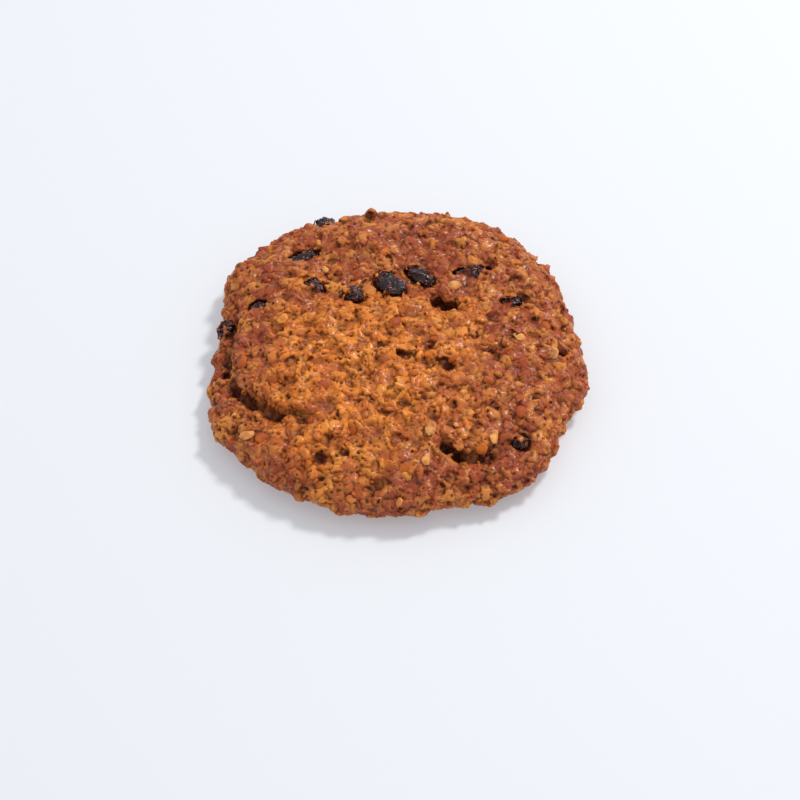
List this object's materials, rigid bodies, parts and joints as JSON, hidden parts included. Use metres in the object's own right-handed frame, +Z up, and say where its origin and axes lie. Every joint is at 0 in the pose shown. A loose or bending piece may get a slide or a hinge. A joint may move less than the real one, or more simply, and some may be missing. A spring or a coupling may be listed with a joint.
{
  "type": "oatmeal raisin cookie",
  "caption": "Large round baked cookie with a craggy oat crust and raisins sunk in its top, lying flat on its underside.",
  "frame": {"origin": "on the surface the cookie lies on, under the middle of its bounding box", "axes": "+Z up out of the craggy top, +X to the right and +Y away from the viewer of the picture"},
  "size_m": [0.1132, 0.1204, 0.0194],
  "materials": {
    "baked_dough": "matt, rough, crumbly golden-brown baked oat dough",
    "raisin_skin": "dark purple-black wrinkled skin with a soft gloss"
  },
  "bodies": {
    "root": {"cookie": "baked_dough", "raisin_01": "raisin_skin", "raisin_02": "raisin_skin", "raisin_03": "raisin_skin", "raisin_04": "raisin_skin", "raisin_05": "raisin_skin", "raisin_06": "raisin_skin", "raisin_07": "raisin_skin", "raisin_08": "raisin_skin", "raisin_09": "raisin_skin", "raisin_10": "raisin_skin", "raisin_11": "raisin_skin"}
  },
  "joints": []
}
